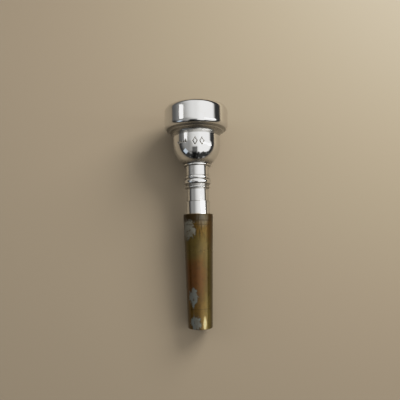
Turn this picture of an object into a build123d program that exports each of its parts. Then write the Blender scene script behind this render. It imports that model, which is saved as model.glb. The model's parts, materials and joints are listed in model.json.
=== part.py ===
from build123d import *
from math import asin, atan2, cos, degrees, hypot, radians, sin, sqrt, tan
import os

# A silver-plated cornet mouthpiece seated in a tapered brass adapter sleeve, lying on a flat surface.
# Both pieces are turned: each is one profile revolved about the shared bore axis. A profile point is
# (radius, station), and a station is the distance along the bore axis from the sleeve's small end.
# The object rests on the rim's lower edge and on the sleeve's small end, with the rim towards +Y.

# ---- driving dimensions, mm ----
TAPER = 1 / 20  # change of diameter per length, of the sleeve and of the mouthpiece's shank
FIT_CLEARANCE = 0.02  # radial gap between the shank and the socket

SLEEVE_LENGTH = 44.8
SLEEVE_TIP_DIAMETER = 9.75
SLEEVE_BORE_DIAMETER = 8.0
SLEEVE_EDGE_ROUND = 0.3
SOCKET_DEPTH = 26.1
SOCKET_LEAD_IN = 0.25
BORE_EDGE_CHAMFER = 0.2

SHANK_LENGTH = 29.8
SHANK_TIP_DIAMETER = 8.46
SHANK_TIP_ROUND = 0.25
SHANK_SHOULDER_STATION = 50.0
SHANK_SHOULDER_CHAMFER = 0.12

STEM_DIAMETER = 8.96
NECK_DIAMETER = 9.6
LOWER_RING_STATION, LOWER_RING_DIAMETER, LOWER_RING_WIDTH = 55.75, 10.3, 0.75
BEAD_STATION, BEAD_DIAMETER, BEAD_WIDTH = 58.0, 11.2, 1.9
UPPER_RING_STATION, UPPER_RING_DIAMETER, UPPER_RING_WIDTH = 59.8, 10.2, 1.3
COLLAR_STATION, COLLAR_DIAMETER, COLLAR_WIDTH = 64.85, 11.4, 0.9
GROOVE_DIAMETER = 9.6  # the coves between the bead and its two rings

BOWL_DIAMETER = 19.4
BOWL_ROUND = 9.3
BOWL_WALL_START = 73.2

RIM_DIAMETER = 26.3
RIM_CREST_STATION = 89.4
RIM_CREST_DIAMETER = 20.0
RIM_CROWN_ROUND = 5.0
RIM_OUTER_ROUND = 2.2
RIM_INNER_ROUND = 2.2
RIM_BITE_ROUND = 0.6
RIM_LOWER_STATION = 81.3  # where the rim's outer wall ends and its lower edge round starts
RIM_LOWER_ROUND = 2.0

# The rim's underside is a moulding: the lower edge round, a step's cove, an ovolo, and a straight face that
# ends in the bowl's cove. Going inwards, these are the angles from the wall where the arcs meet, in degrees.
EDGE_TURN, STEP_TURN, FACE_TURN = 70, 40, 60
STEP_COVE_ROUND = 0.7
OVOLO_ROUND = 1.6
BOWL_COVE_ROUND = 1.3

CUP_DIAMETER = 16.2
CUP_CENTRE_STATION = 87.4
CUP_SHOULDER_ROUND = 1.2
THROAT_DIAMETER = 3.66
THROAT_END_STATION = 75.5
BACKBORE_END_DIAMETER = 6.9

# Ornament punched into the bowl: two lozenge outlines in front, and a row of dots to their left.
PUNCH_STATION = 73.0
PUNCH_DEPTH = 0.12
LOZENGE_HEIGHT = 3.4
LOZENGE_WIDTH = 2.2
LOZENGE_STROKE = 0.45
LOZENGE_SPACING = 2.8
LOZENGE_ANGLE = 4.5  # degrees round the bore axis from the top, to the middle of the two lozenges
DOT_DIAMETER = 0.7
DOT_COUNT = 5
DOT_SPREAD = (-48, -26)  # degrees round the bore axis from the top, first and last dot

# ---- derived sizes ----
sleeve_tip_r = SLEEVE_TIP_DIAMETER / 2
sleeve_mouth_r = sleeve_tip_r + SLEEVE_LENGTH * TAPER / 2
sleeve_bore_r = SLEEVE_BORE_DIAMETER / 2
shank_tip_station = SHANK_SHOULDER_STATION - SHANK_LENGTH
shank_tip_r = SHANK_TIP_DIAMETER / 2
stem_r = STEM_DIAMETER / 2
neck_r = NECK_DIAMETER / 2
bowl_r = BOWL_DIAMETER / 2
rim_r = RIM_DIAMETER / 2
crest_r = RIM_CREST_DIAMETER / 2
cup_r = CUP_DIAMETER / 2
throat_r = THROAT_DIAMETER / 2
backbore_r = BACKBORE_END_DIAMETER / 2
diagonal = sqrt(0.5)


def shank_r(station):
    """Radius of the mouthpiece's tapered shank at a station."""
    return shank_tip_r + (station - shank_tip_station) * TAPER / 2


def turned_point(centre, radius, turn):
    """The point of an arc where its normal is turned from the wall's. A cove's radius is negative."""
    return (centre[0] + radius * cos(radians(turn)), centre[1] - radius * sin(radians(turn)))


edge_centre = (rim_r - RIM_LOWER_ROUND, RIM_LOWER_STATION)
edge_end = turned_point(edge_centre, RIM_LOWER_ROUND, EDGE_TURN)
step_centre = turned_point(edge_centre, RIM_LOWER_ROUND + STEP_COVE_ROUND, EDGE_TURN)
step_end = turned_point(step_centre, -STEP_COVE_ROUND, STEP_TURN)
ovolo_centre = turned_point(step_centre, -STEP_COVE_ROUND - OVOLO_ROUND, STEP_TURN)
ovolo_end = turned_point(ovolo_centre, OVOLO_ROUND, FACE_TURN)
cove_centre_r = bowl_r + BOWL_COVE_ROUND
cove_end_r = cove_centre_r - BOWL_COVE_ROUND * cos(radians(FACE_TURN))
cove_end = (cove_end_r, ovolo_end[1] - (ovolo_end[0] - cove_end_r) / tan(radians(FACE_TURN)))
bowl_wall_end = cove_end[1] - BOWL_COVE_ROUND * sin(radians(FACE_TURN))

# ---- how the object lies ----
# The two rounded edges that touch the surface set the tilt of the bore axis.
rise = rim_r - RIM_LOWER_ROUND - (sleeve_tip_r - SLEEVE_EDGE_ROUND)
run = RIM_LOWER_STATION - SLEEVE_EDGE_ROUND
tilt = atan2(rise, run) + asin((RIM_LOWER_ROUND - SLEEVE_EDGE_ROUND) / hypot(rise, run))
crown_centre_station = RIM_CREST_STATION - RIM_CROWN_ROUND
front_reach = crown_centre_station * cos(tilt) + crest_r * sin(tilt) + RIM_CROWN_ROUND
sleeve_edge_r = sleeve_tip_r - SLEEVE_EDGE_ROUND
back_reach = SLEEVE_EDGE_ROUND * (1 - cos(tilt)) + sleeve_edge_r * sin(tilt)
tip_centre = Vector(
    0,
    (back_reach - front_reach) / 2,
    sleeve_edge_r * cos(tilt) + SLEEVE_EDGE_ROUND * (1 - sin(tilt)),
)
bore_direction = Vector(0, cos(tilt), sin(tilt))
bore_axis = Axis(tip_centre, bore_direction)
profile_plane = Plane(tip_centre, x_dir=(1, 0, 0), z_dir=(0, -sin(tilt), cos(tilt)))


def half_round(station, diameter, width, root_r):
    """A convex ring profile: straight flanks to half its height, then an arc over the top."""
    flank_r = (root_r + diameter / 2) / 2
    low, high = station - width / 2, station + width / 2
    Line((root_r, low), (flank_r, low))
    ThreePointArc((flank_r, low), (diameter / 2, station), (flank_r, high))
    return (flank_r, high)


def round_plane(angle):
    """A plane through the bore axis at the ornament's station, facing out at an angle from the top."""
    turn = radians(angle)
    out = Vector(sin(turn), -cos(turn) * sin(tilt), cos(turn) * cos(tilt))
    along_rim = Vector(cos(turn), sin(turn) * sin(tilt), -sin(turn) * cos(tilt))
    return Plane(tip_centre + bore_direction * PUNCH_STATION, x_dir=along_rim, z_dir=out)


def lozenge(width, height, mode=Mode.ADD):
    """A lozenge standing along the bore axis."""
    Polygon((0, -height / 2), (width / 2, 0), (0, height / 2), (-width / 2, 0), mode=mode)


# ---- adapter sleeve ----
socket_start = SLEEVE_LENGTH - SOCKET_DEPTH
lead_in_start = SLEEVE_LENGTH - SOCKET_LEAD_IN
socket_mouth_r = shank_r(SLEEVE_LENGTH) + FIT_CLEARANCE
with BuildPart() as adapter_sleeve:
    with BuildSketch(profile_plane):
        with BuildLine():
            Polyline(
                (sleeve_tip_r - SLEEVE_EDGE_ROUND, 0),
                (sleeve_bore_r + BORE_EDGE_CHAMFER, 0),
                (sleeve_bore_r, BORE_EDGE_CHAMFER),
                (sleeve_bore_r, socket_start),
                (shank_r(socket_start) + FIT_CLEARANCE, socket_start),
                (shank_r(lead_in_start) + FIT_CLEARANCE, lead_in_start),
                (socket_mouth_r + SOCKET_LEAD_IN, SLEEVE_LENGTH),
                (sleeve_mouth_r - SLEEVE_EDGE_ROUND, SLEEVE_LENGTH),
            )
            outer_top = (sleeve_mouth_r - SLEEVE_EDGE_ROUND * TAPER / 2, SLEEVE_LENGTH - SLEEVE_EDGE_ROUND)
            outer_low = (sleeve_tip_r + SLEEVE_EDGE_ROUND * TAPER / 2, SLEEVE_EDGE_ROUND)
            RadiusArc((sleeve_mouth_r - SLEEVE_EDGE_ROUND, SLEEVE_LENGTH), outer_top, SLEEVE_EDGE_ROUND)
            Line(outer_top, outer_low)
            RadiusArc(outer_low, (sleeve_tip_r - SLEEVE_EDGE_ROUND, 0), SLEEVE_EDGE_ROUND)
        make_face()
    revolve(axis=bore_axis)
adapter_sleeve.part.label = "adapter_sleeve"

# ---- mouthpiece ----
groove_r = GROOVE_DIAMETER / 2
shoulder_r = shank_r(SHANK_SHOULDER_STATION)
bowl_arc_centre_r = bowl_r - BOWL_ROUND
collar_top = COLLAR_STATION + COLLAR_WIDTH / 2
bowl_foot = (bowl_arc_centre_r + sqrt(BOWL_ROUND**2 - (BOWL_WALL_START - collar_top) ** 2), collar_top)
bowl_middle = (
    bowl_arc_centre_r + BOWL_ROUND * diagonal,
    BOWL_WALL_START - BOWL_ROUND * diagonal,
)

# The rim's outer edge round touches the crown round from inside, as the bite round does the inner round.
outer_offset_r = rim_r - RIM_OUTER_ROUND - crest_r
outer_offset_s = sqrt((RIM_CROWN_ROUND - RIM_OUTER_ROUND) ** 2 - outer_offset_r**2)
outer_scale = RIM_CROWN_ROUND / (RIM_CROWN_ROUND - RIM_OUTER_ROUND)
crown_end = (crest_r + outer_offset_r * outer_scale, crown_centre_station + outer_offset_s * outer_scale)
rim_wall_top = (rim_r, crown_centre_station + outer_offset_s)
inner_centre_station = RIM_CREST_STATION - RIM_INNER_ROUND
bite_offset_r = crest_r - cup_r - RIM_BITE_ROUND
bite_offset_s = sqrt((RIM_INNER_ROUND - RIM_BITE_ROUND) ** 2 - bite_offset_r**2)
bite_scale = RIM_INNER_ROUND / (RIM_INNER_ROUND - RIM_BITE_ROUND)
bite_start = (crest_r - bite_offset_r * bite_scale, inner_centre_station + bite_offset_s * bite_scale)
cup_wall_top = (cup_r, inner_centre_station + bite_offset_s)

# The cup is a hemisphere that a rounded shoulder joins to the throat.
shoulder_centre_r = throat_r + CUP_SHOULDER_ROUND
shoulder_reach = sqrt((cup_r + CUP_SHOULDER_ROUND) ** 2 - shoulder_centre_r**2)
shoulder_share = cup_r / (cup_r + CUP_SHOULDER_ROUND)
cup_floor = (shoulder_centre_r * shoulder_share, CUP_CENTRE_STATION - shoulder_reach * shoulder_share)
throat_top = (throat_r, CUP_CENTRE_STATION - shoulder_reach)

# The punched ornament is a thin skin of the bowl, cut to the outlines of the punches.
punch_low = BOWL_WALL_START - BOWL_ROUND * diagonal
with BuildPart() as punches:
    with BuildSketch(round_plane(LOZENGE_ANGLE)):
        with GridLocations(LOZENGE_SPACING, 0, 2, 1):
            lozenge(LOZENGE_WIDTH, LOZENGE_HEIGHT)
            lozenge(LOZENGE_WIDTH - 2 * LOZENGE_STROKE, LOZENGE_HEIGHT - 3 * LOZENGE_STROKE, Mode.SUBTRACT)
    extrude(amount=rim_r)
    dot_step = (DOT_SPREAD[1] - DOT_SPREAD[0]) / (DOT_COUNT - 1)
    for number in range(DOT_COUNT):
        with BuildSketch(round_plane(DOT_SPREAD[0] + number * dot_step)):
            Circle(DOT_DIAMETER / 2)
        extrude(amount=rim_r)

with BuildPart() as ornament:
    with BuildSketch(profile_plane):
        with BuildLine():
            skin_foot = (bowl_arc_centre_r + (BOWL_ROUND - PUNCH_DEPTH) * diagonal, punch_low)
            skin_r = bowl_r - PUNCH_DEPTH
            Line((rim_r, punch_low), skin_foot)
            RadiusArc(skin_foot, (skin_r, BOWL_WALL_START), -(BOWL_ROUND - PUNCH_DEPTH))
            Line((skin_r, BOWL_WALL_START), (skin_r, bowl_wall_end))
            Polyline((skin_r, bowl_wall_end), (rim_r, bowl_wall_end), (rim_r, punch_low))
        make_face()
    revolve(axis=bore_axis)
    add(punches.part, mode=Mode.INTERSECT)

with BuildPart() as mouthpiece:
    with BuildSketch(profile_plane):
        with BuildLine():
            # outside, from the shank's tip to the rim
            Line((backbore_r, shank_tip_station), (shank_tip_r - SHANK_TIP_ROUND, shank_tip_station))
            shank_low = (shank_r(shank_tip_station + SHANK_TIP_ROUND), shank_tip_station + SHANK_TIP_ROUND)
            RadiusArc(shank_low, (shank_tip_r - SHANK_TIP_ROUND, shank_tip_station), SHANK_TIP_ROUND)
            Polyline(
                shank_low,
                (shoulder_r, SHANK_SHOULDER_STATION - SHANK_SHOULDER_CHAMFER),
                (shoulder_r - SHANK_SHOULDER_CHAMFER, SHANK_SHOULDER_STATION),
                (stem_r, SHANK_SHOULDER_STATION),
                (stem_r, LOWER_RING_STATION - LOWER_RING_WIDTH / 2),
            )
            ring_end = half_round(LOWER_RING_STATION, LOWER_RING_DIAMETER, LOWER_RING_WIDTH, stem_r)
            bead_start = (groove_r, BEAD_STATION - BEAD_WIDTH / 2)
            Polyline(ring_end, (groove_r, ring_end[1]), bead_start)
            bead_end = half_round(BEAD_STATION, BEAD_DIAMETER, BEAD_WIDTH, groove_r)
            upper_start = (groove_r, UPPER_RING_STATION - UPPER_RING_WIDTH / 2)
            Polyline(bead_end, (groove_r, bead_end[1]), upper_start)
            upper_end = half_round(UPPER_RING_STATION, UPPER_RING_DIAMETER, UPPER_RING_WIDTH, groove_r)
            collar_start = (neck_r, COLLAR_STATION - COLLAR_WIDTH / 2)
            Polyline(upper_end, (neck_r, upper_end[1]), collar_start)
            collar_end = half_round(COLLAR_STATION, COLLAR_DIAMETER, COLLAR_WIDTH, neck_r)
            Line(collar_end, bowl_foot)
            ThreePointArc(bowl_foot, bowl_middle, (bowl_r, BOWL_WALL_START))
            Line((bowl_r, BOWL_WALL_START), (bowl_r, bowl_wall_end))
            RadiusArc((bowl_r, bowl_wall_end), cove_end, BOWL_COVE_ROUND)
            Line(cove_end, ovolo_end)
            RadiusArc(ovolo_end, step_end, -OVOLO_ROUND)
            RadiusArc(step_end, edge_end, STEP_COVE_ROUND)
            RadiusArc(edge_end, (rim_r, RIM_LOWER_STATION), -RIM_LOWER_ROUND)
            Line((rim_r, RIM_LOWER_STATION), rim_wall_top)
            RadiusArc(rim_wall_top, crown_end, -RIM_OUTER_ROUND)
            RadiusArc(crown_end, (crest_r, RIM_CREST_STATION), -RIM_CROWN_ROUND)
            # inside, from the rim down the cup, throat and backbore
            RadiusArc((crest_r, RIM_CREST_STATION), bite_start, -RIM_INNER_ROUND)
            RadiusArc(bite_start, cup_wall_top, -RIM_BITE_ROUND)
            Line(cup_wall_top, (cup_r, CUP_CENTRE_STATION))
            RadiusArc((cup_r, CUP_CENTRE_STATION), cup_floor, cup_r)
            RadiusArc(cup_floor, throat_top, -CUP_SHOULDER_ROUND)
            Line(throat_top, (throat_r, THROAT_END_STATION))
            TangentArc((throat_r, THROAT_END_STATION), (backbore_r, shank_tip_station), tangent=(0, -1))
        make_face()
    revolve(axis=bore_axis)
    add(ornament.part, mode=Mode.SUBTRACT)
mouthpiece.part.label = "mouthpiece"

# ---- one STEP per piece ----
os.makedirs("parts", exist_ok=True)
export_step(adapter_sleeve.part, "parts/adapter_sleeve.step")
export_step(mouthpiece.part, "parts/mouthpiece.step")
print("tilt of the bore axis, degrees:", round(degrees(tilt), 3))
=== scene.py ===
import json
import math

import bpy
import numpy as np
from mathutils import Matrix, Vector


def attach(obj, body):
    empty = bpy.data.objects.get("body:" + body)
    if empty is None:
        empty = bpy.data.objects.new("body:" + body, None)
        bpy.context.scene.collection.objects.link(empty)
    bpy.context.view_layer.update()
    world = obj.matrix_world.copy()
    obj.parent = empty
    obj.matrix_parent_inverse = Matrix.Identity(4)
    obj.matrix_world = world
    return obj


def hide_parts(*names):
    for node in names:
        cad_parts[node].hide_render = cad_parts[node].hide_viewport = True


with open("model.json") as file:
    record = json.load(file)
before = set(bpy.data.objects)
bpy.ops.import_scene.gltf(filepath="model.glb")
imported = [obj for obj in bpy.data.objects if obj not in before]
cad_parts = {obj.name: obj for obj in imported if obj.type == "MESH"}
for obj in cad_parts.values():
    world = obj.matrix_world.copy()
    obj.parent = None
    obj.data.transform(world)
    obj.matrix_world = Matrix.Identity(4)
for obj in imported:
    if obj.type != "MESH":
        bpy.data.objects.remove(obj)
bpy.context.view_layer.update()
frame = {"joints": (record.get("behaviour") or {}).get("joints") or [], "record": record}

# The looks of a silver-plated cornet mouthpiece in a patinated brass adapter sleeve.
# Both pieces are turned, so each is an outline revolved about the bore axis. Outline points are
# (radius, station) in millimetres, and a station is the distance along the bore from the sleeve's small end.
# In the bore's own frame Z runs along the bore towards the rim, X is the scene's X, and -Y faces up.

MM = 0.001

# ---- the bore's place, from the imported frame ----
mounts = {mount["name"]: mount for mount in frame["record"]["mounts"]}
bore = Vector(frame["joints"][0]["axis"]).normalized()
side = Vector((1, 0, 0))
bore_frame = Matrix((side, bore.cross(side), bore)).transposed().to_4x4()
bore_frame.translation = Vector(mounts["small_end_face"]["pos_m"])

# ---- driving sizes, mm and degrees, as the CAD model has them ----
TAPER, FIT_CLEARANCE = 1 / 20, 0.02
SLEEVE_LENGTH, SLEEVE_TIP_R, SLEEVE_BORE_R, SLEEVE_EDGE = 44.8, 4.875, 4.0, 0.3
SOCKET_DEPTH, SOCKET_LEAD_IN, BORE_CHAMFER = 26.1, 0.25, 0.2
SHANK_SHOULDER, SHANK_LENGTH, SHANK_TIP_R = 50.0, 29.8, 4.23
STEM_R, GROOVE_R, NECK_R, BACKBORE_R, THROAT_R = 4.48, 4.8, 4.8, 3.45, 1.83
RINGS = {  # station, radius and width of each ring on the neck
    "lower": (55.75, 5.15, 0.75),
    "bead": (58.0, 5.6, 1.9),
    "upper": (59.8, 5.1, 1.3),
    "collar": (64.85, 5.7, 0.9),
}
BOWL_R, BOWL_ROUND, BOWL_START = 9.7, 9.3, 73.2
RIM_R, RIM_START, CREST_R, CREST = 13.15, 81.3, 10.0, 89.4
CROWN_ROUND, OUTER_ROUND, INNER_ROUND, BITE_ROUND = 5.0, 2.2, 2.2, 0.6
# the rim's underside, from the rim inwards, and how far from the wall its arcs have turned where they meet
EDGE_ROUND, STEP_ROUND, OVOLO_ROUND, BOWL_COVE = 2.0, 0.7, 1.6, 1.3
EDGE_TURN, STEP_TURN, FACE_TURN = 70, 40, 60
CUP_R, CUP_CENTRE, CUP_SHOULDER, THROAT_END = 8.1, 87.4, 1.2, 75.5

PUNCH_STATION, PUNCH_DEPTH = 73.0, 0.12
LOZENGE_HALF_HEIGHT, LOZENGE_HALF_WIDTH, LOZENGE_STROKE = 1.7, 1.1, 0.45
LOZENGE_SPACING, LOZENGE_ANGLE = 2.8, 4.5
DOT_R, DOT_ANGLES = 0.35, np.linspace(-48, -26, 5)

# ---- sizes worked out from those ----
SLEEVE_MOUTH_R = SLEEVE_TIP_R + SLEEVE_LENGTH * TAPER / 2
SOCKET_START = SLEEVE_LENGTH - SOCKET_DEPTH
SHANK_TIP = SHANK_SHOULDER - SHANK_LENGTH
FOOT = RINGS["collar"][0] + RINGS["collar"][2] / 2  # where the bowl begins


def shank_r(station):
    """The tapered shank's radius at a station."""
    return SHANK_TIP_R + (station - SHANK_TIP) * TAPER / 2


# ---- outlines ----
ARC_STEP = math.radians(4)
SMALL_ROUND, SMALL_ARC_STEP = 3.0, math.radians(8)  # arcs below this radius take the longer step
EDGE_BREAK = 0.06  # mm, the tiny round on every edge that has no round of its own
SHARP_TURN = math.radians(16)  # the outline has an edge wherever it turns by more
BREAK_STEP = math.radians(15)  # between the points of an edge's arc
LONGEST_BREAK = 0.45  # the share of a run that one edge's arc may take


def arc(centre, radius, start, end):
    """Points on an arc, from one angle to another in degrees, counted from +radius towards +station."""
    start, end = math.radians(start), math.radians(end)
    pieces = max(2, math.ceil(abs(end - start) / (SMALL_ARC_STEP if radius < SMALL_ROUND else ARC_STEP)))
    angles = [start + (end - start) * i / pieces for i in range(pieces + 1)]
    return [(centre[0] + radius * math.cos(a), centre[1] + radius * math.sin(a)) for a in angles]


def turned_point(centre, radius, turn):
    """The point of an arc where its normal is turned from the wall's towards the sleeve, in degrees."""
    turn = math.radians(turn)
    return (centre[0] + radius * math.cos(turn), centre[1] - radius * math.sin(turn))


def arc_through(low, peak, high):
    """Points on the arc from low to high that bulges outwards to peak, with low and high at one radius."""
    half, rise = (high[1] - low[1]) / 2, peak - low[0]
    radius = (half**2 + rise**2) / (2 * rise)
    span = math.degrees(math.asin(min(1, half / radius)))
    if rise > radius:
        span = 180 - span
    return arc((peak - radius, (low[1] + high[1]) / 2), radius, -span, span)


def ring(name, root_low, root_high):
    """A convex ring: straight flanks to half its height, then an arc over the top."""
    station, peak, width = RINGS[name]
    flank = (root_low + peak) / 2
    low, high = station - width / 2, station + width / 2
    return [(root_low, low), *arc_through((flank, low), peak, (flank, high)), (root_high, high)]


def break_edges(points, size):
    """The closed outline with each sharp corner replaced by a tiny arc."""
    result = []
    for before, here, after in zip([points[-1], *points], points, [*points[1:], points[0]]):
        a, b = Vector(before) - Vector(here), Vector(after) - Vector(here)
        turn = math.pi - a.angle(b)
        if turn < SHARP_TURN:
            result.append(here)
            continue
        reach = min(size * math.tan(turn / 2), LONGEST_BREAK * a.length, LONGEST_BREAK * b.length)
        start, end = Vector(here) + a.normalized() * reach, Vector(here) + b.normalized() * reach
        pieces = max(2, math.ceil(turn / BREAK_STEP))
        for i in range(pieces + 1):
            t = i / pieces
            result.append(tuple((1 - t) ** 2 * start + 2 * t * (1 - t) * Vector(here) + t**2 * end))
    return result


def subdivide(points, longest):
    """The closed outline with long runs divided. longest gives the longest run allowed near a point."""
    result = []
    for here, after in zip(points, [*points[1:], points[0]]):
        length = math.dist(here, after)
        pieces = max(1, math.ceil(length / longest(here, after)))
        result += [tuple(a + (b - a) * i / pieces for a, b in zip(here, after)) for i in range(pieces)]
    return result


# ---- turning an outline into a mesh ----
FINE_SPAN, FINE_STEP, COARSE_STEP = (-56, 20), 0.6, 2.5  # degrees. The fine columns carry the ornament.


def columns(fine):
    """The angles of the columns from the top, in degrees, with closer ones under the ornament."""
    if not fine:
        return np.arange(-180, 180, COARSE_STEP)
    low, high = FINE_SPAN
    rest = math.ceil((360 - (high - low)) / COARSE_STEP)
    coarse = np.linspace(high, low + 360, rest, endpoint=False)
    return np.concatenate([np.arange(low, high, FINE_STEP), coarse])


def outline_normals(points):
    """The closed outline's normals. Each leans towards the longer run beside it, which keeps flats flat."""
    run = np.roll(points, -1, 0) - points
    outward = np.stack([run[:, 1], -run[:, 0]], 1)
    normal = outward + np.roll(outward, 1, 0)
    return normal / np.linalg.norm(normal, axis=1)[:, None]


def slopes(sunk, points, angles):
    """How fast a sunk surface gets deeper, along the outline and around the bore."""
    runs = np.linalg.norm(np.diff(points, axis=0), axis=1)
    along = np.gradient(sunk, np.concatenate([[0], np.cumsum(runs)]), axis=0)
    wrapped = np.concatenate([sunk[:, -1:], sunk, sunk[:, :1]], 1)
    wrapped_angles = np.radians(np.concatenate([angles[-1:] - 360, angles, angles[:1] + 360]))
    around = np.gradient(wrapped, wrapped_angles, axis=1)[:, 1:-1] / points[:, 0, None]
    return along, around


def vectors(outward, around, along, turn):
    """Vectors in the bore's frame, from their parts outwards, around and along it at each column's turn."""
    sin, cos = np.sin(turn), np.cos(turn)
    return np.stack([outward * sin + around * cos, -outward * cos + around * sin, along + 0 * sin], 2)


def lathe(name, outline, angles, depth):
    """Revolves a closed outline about the bore. depth(radius, station, angle) is how far it is sunk."""
    points, turn = np.array(outline), np.radians(angles)[None, :]
    radius, station = points[:, 0, None], points[:, 1, None]
    inside = np.arange(len(points)) > np.argmax(points[:, 1])
    sunk = np.where(inside[:, None], 0, depth(radius, station, angles[None, :]))
    deeper_along, deeper_around = slopes(sunk, points, angles)
    normal_r, normal_s = np.hsplit(outline_normals(points), 2)
    places = vectors(radius - normal_r * sunk, 0, station - normal_s * sunk, turn)
    facing_r, facing_s = normal_r - deeper_along * normal_s, normal_s + deeper_along * normal_r
    facing = vectors(facing_r, deeper_around, facing_s, turn)
    facing = facing / np.linalg.norm(facing, axis=2)[:, :, None]
    unsunk = vectors(radius, 0, station, turn)

    rows, across = sunk.shape
    here, right = np.arange(across), (np.arange(across) + 1) % across
    low, high = np.arange(rows)[:, None] * across, (np.arange(rows)[:, None] + 1) % rows * across
    faces = np.stack([low + here, low + right, high + right, high + here], 2).reshape(-1, 4)
    turn_into_scene = np.array(bore_frame.to_3x3()).T
    places = places.reshape(-1, 3) @ turn_into_scene * MM + np.array(bore_frame.translation)
    mesh = bpy.data.meshes.new(name)
    mesh.from_pydata(places, [], faces)
    mesh.shade_smooth()
    mesh.normals_split_custom_set_from_vertices(facing.reshape(-1, 3) @ turn_into_scene)

    # The materials read these: the unsunk place in the bore's frame in mm, the inside, and the depth sunk.
    mesh.attributes.new("turned", "FLOAT_VECTOR", "POINT").data.foreach_set("vector", unsunk.ravel())
    inside_points = np.repeat(inside, across).astype(float)
    mesh.attributes.new("inside", "FLOAT", "POINT").data.foreach_set("value", inside_points)
    mesh.attributes.new("sunk", "FLOAT", "POINT").data.foreach_set("value", sunk.ravel())
    piece = bpy.data.objects.new(name, mesh)
    bpy.context.scene.collection.objects.link(piece)
    return piece


# ---- knocks and punched marks ----
# Knocks from handling: (station, degrees from the top), (half length, half width), depth.
MOUTHPIECE_DENTS = [
    ((88.9, -68), (0.5, 0.9), 0.045),
    ((79.4, 34), (0.4, 0.8), 0.045),
    ((84.0, 118), (1.0, 0.7), 0.04),
]
SLEEVE_DENTS = [
    ((0.2, -36), (0.7, 1.1), 0.12),
    ((0.3, 24), (0.5, 0.7), 0.08),
    ((44.7, -62), (0.5, 0.9), 0.06),
    ((25.5, 17), (4.5, 0.8), 0.09),
    ((33.0, -120), (1.2, 0.9), 0.06),
]
PUNCH_SLOPE = 0.06  # mm, half the width of a mark's sloping side


def dents_depth(dents, radius, station, angle):
    """Depth of the soft dents."""
    depth = 0
    for at, size, deepest in dents:
        across = np.radians((angle - at[1] + 180) % 360 - 180) * radius
        depth = depth + deepest * np.exp(-(((station - at[0]) / size[0]) ** 2) - (across / size[1]) ** 2)
    return depth


def punch(distance):
    """Depth of a punched mark, from the distance outside its edge."""
    share = np.clip(0.5 - distance / (2 * PUNCH_SLOPE), 0, 1)
    return PUNCH_DEPTH * share * share * (3 - 2 * share)


def outside_lozenge(across, up, half_width, half_height):
    """The distance outside a lozenge's edge, which is negative inside it."""
    steep = 1 / math.hypot(1 / half_width, 1 / half_height)
    return (across / half_width + np.abs(up) / half_height - 1) * steep


def ornament_depth(radius, station, angle):
    """Two lozenge outlines side by side, and a row of dots to their left, punched into the bowl."""
    up = station - PUNCH_STATION
    across = np.radians(angle - LOZENGE_ANGLE) * radius
    from_middle = np.abs(np.abs(across) - LOZENGE_SPACING / 2)
    outer = outside_lozenge(from_middle, up, LOZENGE_HALF_WIDTH, LOZENGE_HALF_HEIGHT)
    inner = outside_lozenge(from_middle, up, LOZENGE_HALF_WIDTH - LOZENGE_STROKE,
                            LOZENGE_HALF_HEIGHT - 1.5 * LOZENGE_STROKE)
    depth = punch(np.maximum(outer, -inner))
    for dot in DOT_ANGLES:
        outside_dot = np.hypot(np.radians(angle - dot) * radius, up) - DOT_R
        depth = np.maximum(depth, punch(outside_dot))
    return depth


def mouthpiece_depth(radius, station, angle):
    """How far the mouthpiece's outside is sunk below its outline."""
    return ornament_depth(radius, station, angle) + dents_depth(MOUTHPIECE_DENTS, radius, station, angle)


def sleeve_depth(radius, station, angle):
    """How far the sleeve's outside is sunk below its outline."""
    return dents_depth(SLEEVE_DENTS, radius, station, angle)


# ---- the mouthpiece ----
LONG_RUN, PLAIN_RUN, ORNAMENT_RUN = 3.0, 0.6, 0.1  # mm, the longest runs along the outline
ORNAMENT_MARGIN = 0.3  # mm, how far the shortest runs go beyond the lozenges
BOWL_SIDE_R = BOWL_R - 1  # beside the punches, the bowl's outside is beyond this radius and its cup isn't


def underside_centres():
    """The centres of the arcs under the rim: its edge, the step, the ovolo and the cove at the bowl."""
    # Each arc's centre lies on the line through the last arc's end and centre. A straight face joins the
    # last two.
    edge = (RIM_R - EDGE_ROUND, RIM_START)
    step = turned_point(edge, EDGE_ROUND + STEP_ROUND, EDGE_TURN)
    ovolo = turned_point(step, -STEP_ROUND - OVOLO_ROUND, STEP_TURN)
    ovolo_end = turned_point(ovolo, OVOLO_ROUND, FACE_TURN)
    cove_r = BOWL_R + BOWL_COVE
    face_run = ovolo_end[0] - turned_point((cove_r, 0), -BOWL_COVE, FACE_TURN)[0]
    face_end_station = ovolo_end[1] - face_run / math.tan(math.radians(FACE_TURN))
    return edge, step, ovolo, (cove_r, face_end_station - BOWL_COVE * math.sin(math.radians(FACE_TURN)))


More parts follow.
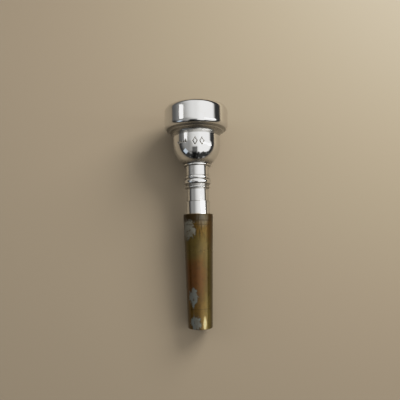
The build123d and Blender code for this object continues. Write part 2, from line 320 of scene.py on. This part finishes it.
def mouthpiece_outline():
    """The closed outline: up the outside from the shank's tip, over the rim, and back down the bore."""
    shoulder_r, bowl_centre_r = shank_r(SHANK_SHOULDER), BOWL_R - BOWL_ROUND
    foot_angle = math.degrees(math.asin((FOOT - BOWL_START) / BOWL_ROUND))
    edge_centre, step_centre, ovolo_centre, cove_centre = underside_centres()

    # Each of the rim's small rounds touches the larger round beside it from inside.
    crown_centre = (CREST_R, CREST - CROWN_ROUND)
    outer_angle = math.degrees(math.acos((RIM_R - OUTER_ROUND - CREST_R) / (CROWN_ROUND - OUTER_ROUND)))
    outer_centre = (RIM_R - OUTER_ROUND,
                    crown_centre[1] + (CROWN_ROUND - OUTER_ROUND) * math.sin(math.radians(outer_angle)))
    inner_centre = (CREST_R, CREST - INNER_ROUND)
    bite_angle = 180 - math.degrees(math.acos((CREST_R - CUP_R - BITE_ROUND) / (INNER_ROUND - BITE_ROUND)))
    bite_centre = (CUP_R + BITE_ROUND,
                   inner_centre[1] + (INNER_ROUND - BITE_ROUND) * math.sin(math.radians(bite_angle)))

    # The cup is a hemisphere that a rounded shoulder joins to the throat.
    shoulder_centre_r = THROAT_R + CUP_SHOULDER
    drop_angle = -math.degrees(math.acos(shoulder_centre_r / (CUP_R + CUP_SHOULDER)))
    drop = (CUP_R + CUP_SHOULDER) * math.sin(math.radians(drop_angle))
    shoulder_centre = (shoulder_centre_r, CUP_CENTRE + drop)

    # The backbore flares from the throat to the shank's tip along one shallow arc.
    flare, reach = BACKBORE_R - THROAT_R, THROAT_END - SHANK_TIP
    flare_round = (flare**2 + reach**2) / (2 * flare)
    flare_end = 180 + math.degrees(math.asin(reach / flare_round))
    backbore = arc((THROAT_R + flare_round, THROAT_END), flare_round, 180, flare_end)

    return [
        (SHANK_TIP_R, SHANK_TIP), (shoulder_r, SHANK_SHOULDER), (STEM_R, SHANK_SHOULDER),
        *ring("lower", STEM_R, GROOVE_R),
        *ring("bead", GROOVE_R, GROOVE_R),
        *ring("upper", GROOVE_R, NECK_R),
        *ring("collar", NECK_R, bowl_centre_r + BOWL_ROUND * math.cos(math.radians(foot_angle))),
        *arc((bowl_centre_r, BOWL_START), BOWL_ROUND, foot_angle, 0)[1:],
        *arc(cove_centre, BOWL_COVE, 180, 180 - FACE_TURN),
        *arc(ovolo_centre, OVOLO_ROUND, -FACE_TURN, -STEP_TURN),
        *arc(step_centre, STEP_ROUND, 180 - STEP_TURN, 180 - EDGE_TURN)[1:],
        *arc(edge_centre, EDGE_ROUND, -EDGE_TURN, 0)[1:],
        *arc(outer_centre, OUTER_ROUND, 0, outer_angle),
        *arc(crown_centre, CROWN_ROUND, outer_angle, 90)[1:],
        *arc(inner_centre, INNER_ROUND, 90, bite_angle)[1:],
        *arc(bite_centre, BITE_ROUND, bite_angle, 180)[1:],
        *arc((0, CUP_CENTRE), CUP_R, 0, drop_angle),
        *arc(shoulder_centre, CUP_SHOULDER, 180 + drop_angle, 180)[1:],
        *backbore,
    ]


def longest_mouthpiece_run(here, after):
    """Short runs under the ornament, whose punches are geometry, and long ones on the shank and bore."""
    middle = (here[1] + after[1]) / 2
    if max(here[0], after[0]) < NECK_R:
        return LONG_RUN
    beside_ornament = abs(middle - PUNCH_STATION) < LOZENGE_HALF_HEIGHT + ORNAMENT_MARGIN
    return ORNAMENT_RUN if beside_ornament and min(here[0], after[0]) > BOWL_SIDE_R else PLAIN_RUN


# ---- the sleeve ----
SLEEVE_RUN = 0.5  # mm, the longest run along the sleeve's outline


def sleeve_outline():
    """The closed outline: up the outside from the small end, into the socket, and down the bore."""
    socket_end = shank_r(SLEEVE_LENGTH) + FIT_CLEARANCE
    lead_in = SLEEVE_LENGTH - SOCKET_LEAD_IN
    return [
        *arc((SLEEVE_TIP_R - SLEEVE_EDGE, SLEEVE_EDGE), SLEEVE_EDGE, -90, 0),
        *arc((SLEEVE_MOUTH_R - SLEEVE_EDGE, SLEEVE_LENGTH - SLEEVE_EDGE), SLEEVE_EDGE, 0, 90),
        (socket_end + SOCKET_LEAD_IN, SLEEVE_LENGTH),
        (shank_r(lead_in) + FIT_CLEARANCE, lead_in),
        (shank_r(SOCKET_START) + FIT_CLEARANCE, SOCKET_START),
        (SLEEVE_BORE_R, SOCKET_START),
        (SLEEVE_BORE_R, BORE_CHAMFER),
        (SLEEVE_BORE_R + BORE_CHAMFER, 0),
    ]


# ---- formulas for shaders ----
class Field:
    """A number or colour that varies over a surface, so that a shader reads as a formula."""

    def __init__(self, formulas, socket):
        self.formulas, self.socket = formulas, socket

    def __add__(self, other):
        return self.formulas.math("ADD", self, other)

    def __sub__(self, other):
        return self.formulas.math("SUBTRACT", self, other)

    def __rsub__(self, other):
        return self.formulas.math("SUBTRACT", other, self)

    def __mul__(self, other):
        return self.formulas.math("MULTIPLY", self, other)

    def __truediv__(self, other):
        return self.formulas.math("DIVIDE", self, other)

    __radd__, __rmul__ = __add__, __mul__


class Formulas:
    """A node tree that is built from formulas."""

    def __init__(self, tree):
        self.tree = tree

    def feed(self, socket, value):
        """Links a field to a socket, or sets the socket to a constant."""
        if isinstance(value, Field):
            self.tree.links.new(value.socket, socket)
        else:
            socket.default_value = value

    def field(self, kind, inputs, output=0, **settings):
        """A new node's output."""
        node = self.tree.nodes.new("ShaderNode" + kind)
        for setting, value in settings.items():
            setattr(node, setting, value)
        for socket, value in inputs.items():
            self.feed(node.inputs[socket], value)
        return Field(self, node.outputs[output])

    def math(self, operation, *values):
        """A Math node's result."""
        return self.field("Math", dict(enumerate(values)), operation=operation)

    def most(self, a, b):
        """The greater of two values."""
        return self.math("MAXIMUM", a, b)

    def smooth(self, value, low, high):
        """0 at low and 1 at high, with a soft start and end. low may be above high."""
        ends = {"Value": value, "From Min": low, "From Max": high}
        return self.field("MapRange", ends, interpolation_type="SMOOTHSTEP")

    def near(self, value, at, far, close):
        """1 where a value is within close of at, and 0 where it is more than far from it."""
        return self.smooth(self.math("ABSOLUTE", value - at), far, close)

    def blend(self, under, over, share):
        """Colour over laid on colour under."""
        return self.field("Mix", {0: share, 6: under, 7: over}, output=2, data_type="RGBA")

    def split(self, vector):
        """A vector's three parts."""
        return [self.field("SeparateXYZ", {0: vector}, output=part) for part in "XYZ"]

    def noise(self, parts, detail=3.0, rough=0.5):
        """Soft noise about 0.5 with a grain of 1, from three coordinates."""
        vector = self.field("CombineXYZ", dict(enumerate(parts)))
        return self.field("TexNoise", {"Vector": vector, "Scale": 1.0, "Detail": detail, "Roughness": rough})


class Turned(Formulas):
    """The material of a turned piece. Lengths are in mm, and angles in degrees from the top."""

    def __init__(self, name):
        self.material = bpy.data.materials.new(name)
        self.material.use_nodes = True
        super().__init__(self.material.node_tree)
        self.across, self.down, self.station = self.split(self.attribute("turned", "Vector"))
        self.radius = self.math("SQRT", self.across * self.across + self.down * self.down)
        self.angle = self.math("ARCTAN2", self.across, 0 - self.down) * math.degrees(1)
        self.inside = self.attribute("inside", "Fac")
        self.outside = 1 - self.inside
        self.sunk = self.attribute("sunk", "Fac")

    def attribute(self, name, output):
        """What the lathe stored on the mesh under a name."""
        return self.field("Attribute", {}, output=output, attribute_name=name)

    def grain(self, size, length=None, detail=3.0, rough=0.5, shift=0.0):
        """Noise whose grain is size mm across the bore and length mm along it."""
        parts = self.across / size + shift, self.down / size, self.station / (length or size) + shift
        return self.noise(parts, detail, rough)

    def turning(self, spacing):
        """Turning marks: noise that changes only along the outline."""
        return self.noise((self.radius / spacing, 0.0, self.station / spacing), detail=2.0)

    def patch(self, at, size, soft, ragged=0.0, grain=1.6):
        """1 in a patch with a ragged edge. at is (station, angle), and size half its length and angle."""
        up = (self.station - at[0]) / size[0]
        around = (self.angle - at[1]) / size[1]
        reach = self.math("SQRT", up * up + around * around)
        reach = reach + (self.grain(grain, detail=4.0, rough=0.6, shift=at[0]) - 0.5) * ragged
        return self.smooth(reach, 1 + soft, 1 - soft)

    def bump(self, height, depth):
        """Relief from a height, where 1 stands depth mm above 0."""
        return self.field("Bump", {"Height": height, "Distance": depth * MM, "Strength": 1.0})

    def finish(self, **sockets):
        """Feeds the Principled shader's sockets, given by name with _ for a space."""
        surface = self.tree.nodes["Principled BSDF"]
        for name, value in sockets.items():
            self.feed(surface.inputs[name.replace("_", " ")], value)
        return self.material


def colour(red, green, blue):
    """A linear colour as the sockets take it."""
    return (red, green, blue, 1.0)


# ---- materials ----
# Corners that polish doesn't reach, tarnished and darkened with painted shade: both sides of every ring, and
# more widely beside the lower one.
TARNISHED_AND_SHADED_CORNERS = [station + way * width / 2 for station, _, width in RINGS.values() for way in (-1, 1)]
SHADE_BESIDE_LOWER_RING = [(56.6, 0.55), (55.1, 0.45)]  # station and reach of the painted shade beside the lower ring


def silver_plate():
    """Bright silver, tarnished and painted with shade in its corners, finely scratched, and rubbed to the
    brass in the socket's grip.
    """
    s = Turned("silver_plate")
    silver, smudged = colour(0.72, 0.72, 0.71), colour(0.64, 0.61, 0.55)
    # the dark tarnish colour also paints the shade in the corners
    tarnish_and_shade_colour, brass = colour(0.09, 0.08, 0.06), colour(0.62, 0.45, 0.20)
    clouds = s.grain(4.0, detail=4.0, rough=0.6)
    fine = s.grain(0.5, detail=4.0, rough=0.65, shift=7.0)

    # tarnish and painted shade beside the rings and the shank's shoulder, at the bowl's foot, and in the
    # rim's step and cove
    corner_tarnish_and_shade = s.smooth(s.station, FOOT + 1.9, FOOT + 0.3) * s.smooth(s.station, FOOT - 0.35, FOOT - 0.1)
    for station in [*TARNISHED_AND_SHADED_CORNERS, SHANK_SHOULDER]:
        corner_tarnish_and_shade = s.most(corner_tarnish_and_shade, s.near(s.station, station, 0.30, 0.05))
    for station, reach in SHADE_BESIDE_LOWER_RING:
        corner_tarnish_and_shade = s.most(corner_tarnish_and_shade, s.near(s.station, station, reach, reach - 0.2))
    _, step_centre, _, cove_centre = underside_centres()
    for (radius, station), round_r in ((step_centre, STEP_ROUND), (cove_centre, BOWL_COVE)):
        out, up = s.radius - radius, s.station - station
        from_centre = s.math("SQRT", out * out + up * up)
        corner_tarnish_and_shade = s.most(corner_tarnish_and_shade, s.near(from_centre, round_r, 0.35, 0.1))
    corner_tarnish_and_shade = corner_tarnish_and_shade * s.outside * (0.35 + 0.6 * fine)

    # tarnish and painted shade in the corners, darker in the punched marks but not the shallower knocks, and
    # grime in spots on the stem
    punched = s.smooth(s.sunk, 0.045, 0.075)
    spots = s.smooth(s.grain(1.3, 0.5, detail=5.0, rough=0.7, shift=3.0), 0.66, 0.74)
    stains = spots * s.smooth(s.station, 56, 49) * 0.6
    grime_and_shade = s.most(s.most(corner_tarnish_and_shade, punched), stains)

    # the shank inside the socket, where the silver is rubbed through in streaks
    grip_start, grip_end = SLEEVE_LENGTH + 0.4, SLEEVE_LENGTH - 1.2
    gripped = s.smooth(s.station + (clouds - 0.5) * 5, grip_start, grip_end) * s.outside
    streaks = s.grain(2.2, 7.0, detail=5.0, rough=0.6, shift=11.0) + fine * 0.2
    rubbed = gripped * s.smooth(streaks, 0.5, 0.68)

    scratches = s.smooth(s.grain(0.16, 4.0, detail=1.0, shift=5.0), 0.63, 0.72)
    base = s.blend(silver, smudged, s.smooth(clouds, 0.45, 0.75) * 0.4)
    base = s.blend(base, brass, rubbed)
    # the dark colour laid on the corners is partly tarnish and partly painted shade
    base = s.blend(base, tarnish_and_shade_colour, grime_and_shade)
    rough = 0.06 + clouds * 0.05 + scratches * 0.05 + grime_and_shade * 0.3 + gripped * 0.12 + rubbed * 0.1
    relief = s.turning(0.22) * 0.35 - scratches * 0.35 + fine * 0.1
    return s.finish(Base_Color=base, Metallic=1.0, Roughness=rough, Normal=s.bump(relief, 0.004))


OLIVE, GOLDEN, RUST = colour(0.062, 0.044, 0.009), colour(0.074, 0.040, 0.005), colour(0.074, 0.024, 0.005)
DARK, TAN = colour(0.016, 0.010, 0.004), colour(0.130, 0.088, 0.036)
# the brighter of these two colours is a painted highlight
BARE, PAINTED_HIGHLIGHT = colour(0.220, 0.155, 0.042), colour(0.500, 0.400, 0.200)
GREY, COOL_GREY = colour(0.108, 0.104, 0.084), colour(0.086, 0.094, 0.086)
OXIDE = colour(0.060, 0.042, 0.020)

# The brass's stained patches and a painted highlight: colour, (station, angle), (half length, half angle),
# softness and raggedness of the edge, strength, and the streak levels it fades between where it is streaked.
BRASS_PATCHES = [
    (RUST, (20, -30), (7.5, 52), 0.7, 0.9, 0.75, None),
    (RUST, (39, 58), (7, 26), 0.5, 0.7, 0.5, None),
    (DARK, (37, 2), (6, 26), 0.6, 0.9, 0.7, (0.65, 0.35)),
    (OLIVE, (32, -30), (5, 60), 0.4, 0.8, 0.8, None),
    (TAN, (35, 12), (6.5, 17), 0.6, 0.9, 0.15, (0.35, 0.65)),
    (BARE, (3, 34), (9, 26), 0.6, 0.8, 0.3, None),
    # a painted highlight where the light's streak crosses the small end
    (PAINTED_HIGHLIGHT, (2.2, 22), (2.6, 7), 0.5, 0.6, 0.85, None),
    (DARK, (43.2, -36), (1.9, 60), 0.5, 0.9, 0.75, None),
]
# Where plating is left: (station, angle), (half length, half angle), and its edge's softness, raggedness
# and grain.
PLATING_PATCHES = [
    ((38.6, -46), (4.4, 36), 0.45, 0.5, 1.6),
    ((12.4, -30), (3.6, 24), 0.55, 0.6, 0.9),
    ((2.4, -22), (3.6, 28), 0.5, 0.6, 0.9),
]
# Dark lines turned round the sleeve: station and strength.
TURNED_LINES = [(42.2, 0.7), (40.5, 0.5), (7.8, 0.45)]


def patinated_brass():
    """Brass gone brown and olive, with what is left of its silver in worn grey patches, painted shade down
    both sides and a painted highlight near the small end.
    """
    s = Turned("patinated_brass")
    clouds = s.grain(5.0, detail=4.0, rough=0.6)
    fine = s.grain(1.5, detail=4.0, rough=0.6, shift=4.0)
    streaks = s.grain(0.5, 4.5, detail=4.0, rough=0.6, shift=9.0)

    # the brass's own colours
    base = s.blend(GOLDEN, OLIVE, s.smooth(s.angle + (clouds - 0.5) * 60, 8, 40))
    for stain, at, size, soft, ragged, strength, streaked in BRASS_PATCHES:
        share = s.patch(at, size, soft, ragged) * strength
        if streaked:
            share = share * s.smooth(streaks, *streaked)
        base = s.blend(base, stain, share)

    # darker in specks, in rings near the sleeve's mouth and at the mouth itself, and with painted shade down
    # both sides
    base = s.blend(base, DARK, s.smooth(fine + clouds * 0.6, 0.86, 0.60) * 0.3)
    rings = s.smooth(s.turning(0.28), 0.60, 0.70) * s.smooth(s.station, 39.5, 42) * 0.7
    base = s.blend(base, DARK, s.most(rings, s.smooth(s.station, 40.5, 43.5) * 0.4))
    # painted shade: both sides of the sleeve darkened by their angle from the top
    base = s.blend(base, DARK, s.most(s.smooth(s.angle, -40, -75) * 0.45, s.smooth(s.angle, 26, 60) * 0.45))
    lines = 0
    for station, strength in TURNED_LINES:
        lines = s.most(lines, s.near(s.station, station, 0.28, 0.1) * strength)
    lines = lines * s.smooth(streaks, 0.35, 0.5) * s.outside

    # what is left of the plating, torn at its edges and outlined by dark brass
    left = 0
    for patch in PLATING_PATCHES:
        left = s.most(left, s.patch(*patch))
    mottle = s.grain(1.3, detail=5.0, rough=0.65, shift=2.0)
    worn = s.smooth(left * 0.66 + (mottle - 0.5) * 1.5 + (streaks - 0.5) * 0.5, 0.34, 0.54)
    thin = s.patch((42.8, 17), (2.6, 22), 0.6, 0.6) * s.smooth(streaks, 0.25, 0.6) * 0.5
    plating = s.most(worn * (0.55 + 0.45 * s.smooth(clouds + fine * 0.5, 0.55, 0.85)), thin)
    base = s.blend(base, s.blend(GREY, COOL_GREY, s.smooth(s.station, 24, 14)), plating)
    base = s.blend(base, DARK, s.most(worn * (1 - worn) * 2.4, lines))
    base = s.blend(base, OXIDE, s.inside)

    rough = 0.17 + fine * 0.08 + plating * 0.25 + s.inside * 0.25 + s.smooth(s.station, 24, 36) * 0.12
    relief = fine * 0.4 + plating * 0.5 + s.turning(0.3) * 0.25 - lines
    polish = 0.25 * (1 - plating) * s.outside * s.smooth(s.station, 38, 30)
    return s.finish(Base_Color=base, Metallic=0.6 - plating * 0.2, Roughness=rough, Specular_IOR_Level=0.15,
                    Coat_Weight=polish, Coat_Roughness=0.07, Normal=s.bump(relief, 0.006))


FLOOR_COLOUR = colour(0.172, 0.141, 0.101)


def floor_paint():
    """A plain, matt, sand-coloured floor."""
    material = bpy.data.materials.new("floor_paint")
    material.use_nodes = True
    surface = material.node_tree.nodes["Principled BSDF"]
    surface.inputs["Base Color"].default_value = FLOOR_COLOUR
    surface.inputs["Roughness"].default_value = 1.0
    surface.inputs["Specular IOR Level"].default_value = 0.1
    return material


# ---- the pieces ----
def place(piece, material, body, node):
    """Gives a piece its material and says what it stands for in the frame."""
    piece.data.materials.append(material)
    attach(piece, body)
    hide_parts(node)


sleeve_profile = subdivide(break_edges(sleeve_outline(), EDGE_BREAK), lambda here, after: SLEEVE_RUN)
sleeve = lathe("brass_sleeve", sleeve_profile, columns(fine=False), sleeve_depth)
place(sleeve, patinated_brass(), "sleeve", "adapter_sleeve")

mouthpiece_profile = subdivide(break_edges(mouthpiece_outline(), EDGE_BREAK), longest_mouthpiece_run)
mouthpiece = lathe("silver_mouthpiece", mouthpiece_profile, columns(fine=True), mouthpiece_depth)
place(mouthpiece, silver_plate(), "mouthpiece", "mouthpiece")

# ---- the floor ----
FLOOR_HALF = 2.5  # metres
floor_mesh = bpy.data.meshes.new("floor")
floor_corners = [(x * FLOOR_HALF, y * FLOOR_HALF, 0) for x, y in ((-1, -1), (1, -1), (1, 1), (-1, 1))]
floor_mesh.from_pydata(floor_corners, [], [(0, 1, 2, 3)])
floor_mesh.materials.append(floor_paint())
floor = bpy.data.objects.new("floor", floor_mesh)
bpy.context.scene.collection.objects.link(floor)


# ---- light ----
def softbox(name, towards, reach, size, brightness, tint):
    """A panel reach metres away that faces the object. towards is its direction, and size its two sides."""
    lamp = bpy.data.lights.new(name, "AREA")
    lamp.shape = "RECTANGLE"
    lamp.size, lamp.size_y = size
    lamp.energy = brightness * math.pi * size[0] * size[1]
    lamp.color = tint
    panel = bpy.data.objects.new(name, lamp)
    away = Vector(towards).normalized()
    panel.location = away * reach
    panel.rotation_euler = away.to_track_quat("Z", "Y").to_euler()
    panel.visible_camera = False
    bpy.context.scene.collection.objects.link(panel)
    return panel


softbox("window", (0.77, -0.03, 0.64), 0.7, (0.045, 0.54), 13.0, (1.0, 0.99, 0.97))
softbox("side_strip", (-0.745, 0.27, 0.61), 0.7, (0.10, 0.16), 2.2, (1.0, 0.98, 0.95))
softbox("cool_panel", (-0.80, -0.49, 0.35), 0.7, (0.22, 0.22), 0.8, (0.68, 0.82, 1.0))
# A soft key from the upper right and a weaker fill from the left, both kept out of mirror reflections.
key = softbox("key", (0.58, 0.60, 0.55), 0.28, (0.15, 0.15), 22.0, (1.0, 0.98, 0.94))
fill = softbox("fill", (-0.84, 0.25, 0.48), 0.38, (0.22, 0.22), 3.0, (1.0, 0.99, 0.97))
key.visible_glossy = fill.visible_glossy = False

# ---- the room, which the silver mirrors ----
CEILING_LEFT, CEILING_MIDDLE, CEILING_RIGHT = 0.32, 0.86, 0.55  # each adds to the ones before it
WALL, FAR_LEFT_WALL, NEAR_THINGS = 0.04, 0.08, 0.3
PHOTOGRAPHER_SHADE = 0.85  # the share of the light that the photographer hides
BACKDROP = colour(0.45, 0.41, 0.35)  # what the camera sees past the floor


def room():
    """A bright ceiling, dimmer to the left, dark walls, things along the near one, and a photographer."""
    world = bpy.data.worlds.new("room")
    bpy.context.scene.world = world
    world.use_nodes = True
    world.node_tree.nodes.clear()
    f = Formulas(world.node_tree)
    # The parts of a direction, each from -1 to 1. Ahead is towards the rim.
    right, ahead, up = f.split(f.field("TexCoord", {}, output="Generated"))
    far, near = f.smooth(ahead, 0.08, 0.22), f.smooth(ahead, -0.50, -0.80)
    right_side = f.smooth(right, -0.2, 0.2)

    # the ceiling gets brighter to the right in two steps, the first of them further left on the far side
    middle = f.smooth(right - 0.18 * (1 - far), -0.80, -0.10)
    ceiling = CEILING_LEFT + CEILING_MIDDLE * middle + CEILING_RIGHT * f.smooth(right, -0.05, 0.35)
    clutter = f.noise((right * 7, ahead * 7, up * 5))
    things = near * NEAR_THINGS * f.smooth(clutter, 0.54, 0.66)
    wall = WALL + FAR_LEFT_WALL * far * (1 - right_side) + things

    # the heights where the wall ends and where the ceiling begins, which differ from side to side
    wall_top = 0.12 + near * 0.35 + right_side * (0.08 + far * 0.10)
    ceiling_edge = 0.55 + near * 0.35 - right_side * (0.19 - far * 0.18)
    above = f.smooth(up + (clutter - 0.5) * near * 0.8, wall_top, ceiling_edge)
    across = f.smooth(right, 0.16, 0.02) * f.smooth(right, -0.46, -0.28)
    photographer = f.smooth(ahead, -0.28, -0.46) * across
    strength = (wall + (ceiling - wall) * above) * (1 - PHOTOGRAPHER_SHADE * photographer)

    lit = f.field("Background", {"Color": colour(1.0, 0.99, 0.97), "Strength": strength})
    seen = f.field("Background", {"Color": BACKDROP, "Strength": 1.0})
    by_camera = f.field("LightPath", {}, output="Is Camera Ray")
    surface = f.field("MixShader", {0: by_camera, 1: lit, 2: seen})
    f.feed(world.node_tree.nodes.new("ShaderNodeOutputWorld").inputs[0], surface)


room()

# ---- camera: above the shank, looking down and a little towards the rim ----
LENS, SENSOR = 35.1, 36.0
EYE = Vector((0.9, -26.4, 166.0)) * MM
PITCH, ROLL = math.radians(11.6), math.radians(-1.26)
lens = bpy.data.cameras.new("camera")
lens.lens, lens.sensor_width, lens.clip_start = LENS, SENSOR, 0.01
camera = bpy.data.objects.new("camera", lens)
aim = Matrix.Rotation(PITCH, 4, "X") @ Matrix.Rotation(ROLL, 4, "Z")
camera.matrix_world = Matrix.Translation(EYE) @ aim
bpy.context.scene.collection.objects.link(camera)
bpy.context.scene.camera = camera

# ---- film: true up to a mid grey, with a soft shoulder that holds the brightest reflections ----
SHOULDER_START, FILM_WHITE, WHITEST = 0.35, 4.0, 0.92
SHOULDER_LIGHTS = (0.1, 0.2, 0.3, 0.4, 0.6, 0.8, 1.0, 1.3, 1.7, 2.2, 3.0)  # where the curve has its points


def film_level(light):
    """What the film shows for an amount of light."""
    room_above = WHITEST - SHOULDER_START
    past = light - SHOULDER_START
    return light if past < 0 else SHOULDER_START + room_above * (1 - math.exp(-past / room_above))


view = bpy.context.scene.view_settings
view.view_transform = "Standard"
view.use_curve_mapping = True
film = view.curve_mapping
film.white_level = (FILM_WHITE, FILM_WHITE, FILM_WHITE)
curve = film.curves[3]  # the one for all three colours
for light in SHOULDER_LIGHTS:
    curve.points.new(light / FILM_WHITE, film_level(light))
curve.points[-1].location = (1.0, film_level(FILM_WHITE))
film.update()
